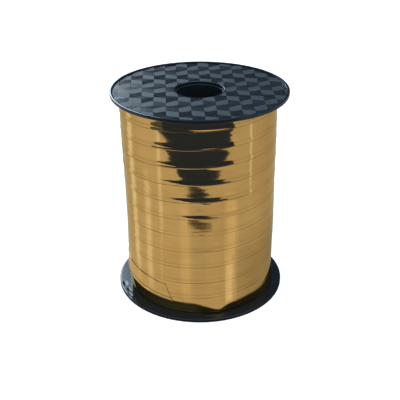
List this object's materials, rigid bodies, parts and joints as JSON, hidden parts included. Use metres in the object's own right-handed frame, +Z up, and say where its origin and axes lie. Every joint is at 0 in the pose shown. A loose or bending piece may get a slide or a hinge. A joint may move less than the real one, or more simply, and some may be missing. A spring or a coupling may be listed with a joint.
{
  "type": "curling ribbon reel",
  "caption": "Flanged black plastic reel wound full with gold metallic curling ribbon for tying balloons and gifts, with an open bore and a loose ribbon end.",
  "frame": {"origin": "middle of the lower rim's foot, on the axis of the bore", "axes": "+Z up the axis of the bore from the lower flange to the upper one; the front, where the loose ribbon end lies, faces -Y"},
  "size_m": [0.095, 0.095, 0.117],
  "materials": {
    "flange_plastic": "black moulded plastic: glossy inside face and rim, embossed satin outside face",
    "tube_plastic": "black moulded plastic, satin",
    "clear_tape": "clear adhesive tape",
    "inner_ribbon": "tightly wound metallised film, seen edge on",
    "ribbon_foil": "gold metallised plastic film, mirror gloss with fine wrinkles along the winding"
  },
  "bodies": {
    "reel": {"lower_flange": "flange_plastic", "upper_flange": "flange_plastic", "core_tube": "tube_plastic", "start_tape": "clear_tape", "ribbon_inner_wraps": "inner_ribbon", "ribbon_under_course": "ribbon_foil", "ribbon_outer_course": "ribbon_foil"},
    "loose_ribbon": {"ribbon_free_end": "ribbon_foil"}
  },
  "joints": [
    {"name": "ribbon_unwind", "type": "hinge", "parent": "reel", "child": "loose_ribbon", "pos_m": [0, 0, 0.0136], "axis": [0, 0, 1], "continuous": true}
  ]
}
